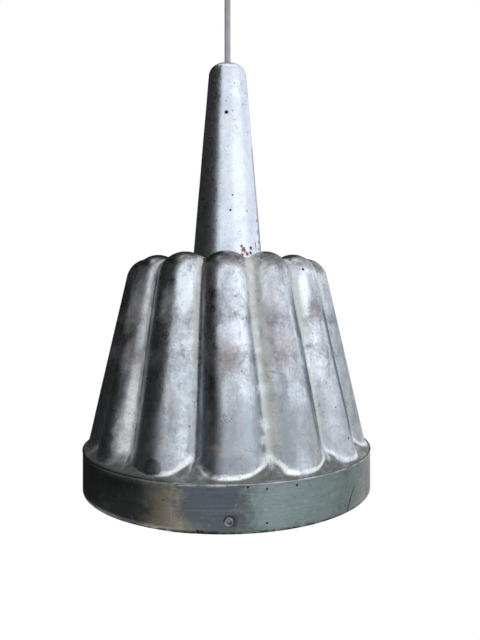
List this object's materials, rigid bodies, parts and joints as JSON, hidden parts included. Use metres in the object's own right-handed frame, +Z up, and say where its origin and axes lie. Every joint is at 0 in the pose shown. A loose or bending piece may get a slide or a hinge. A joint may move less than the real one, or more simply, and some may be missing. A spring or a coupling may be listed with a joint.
{
  "type": "pendant lamp",
  "caption": "Pendant lamp: a fluted cake mould hung mouth down as the shade, with a tall conical neck soldered on its crown, on a cord from a ceiling cup.",
  "frame": {"origin": "middle of the two fixing holes, on the ceiling face of the bracket", "axes": "+Z up into the ceiling; the lamp hangs along -Z and its pictured front looks along -Y"},
  "size_m": [0.251, 0.2522, 0.514],
  "materials": {
    "tinplate": "aged tin-plated sheet, stained and pitted",
    "band_tin": "brushed tin-plated strip, dull",
    "neck_tin": "aged tin-plated sheet, smoother",
    "zinc": "zinc plated steel",
    "holder_black": "black moulded lampholder",
    "porcelain": "unglazed porcelain",
    "brass": "brass contacts",
    "opal_glass": "opal bulb glass",
    "cord_grey": "light grey sheath",
    "cup_paint": "plain light grey paint",
    "grip_plastic": "light grey moulded plastic"
  },
  "bodies": {
    "ceiling": {"ceiling_bracket": "zinc", "ceiling_cup": "cup_paint", "cord_grip": "grip_plastic", "grip_screw": "grip_plastic", "cup_nipple": "zinc", "bracket_nut_upper": "zinc", "bracket_nut_lower": "zinc", "terminal_block": "grip_plastic", "cord_tail": "cord_grey"},
    "pendant": {"fluted_mould": "tinplate", "rim_band": "band_tin", "band_rivet_front": "band_tin", "band_rivet_right": "band_tin", "band_rivet_left": "band_tin", "neck_cone": "neck_tin", "hanger_tube": "zinc", "edge_bush": "grip_plastic", "neck_washer": "zinc", "neck_nut": "zinc", "holder_lock_nut": "zinc", "holder_cap": "holder_black", "locking_screw": "zinc", "holder_shell": "holder_black", "contact_block": "porcelain", "live_terminal_screw": "brass", "neutral_terminal_screw": "brass", "threaded_liner": "brass", "middle_contact": "brass", "bulb": "opal_glass", "cord": "cord_grey", "inner_cord": "cord_grey"}
  },
  "joints": [
    {"name": "cord_swing", "type": "hinge", "parent": "ceiling", "child": "pendant", "pos_m": [0, 0, -0.075], "axis": [0, 1, 0], "range_deg": [-15, 15]}
  ]
}
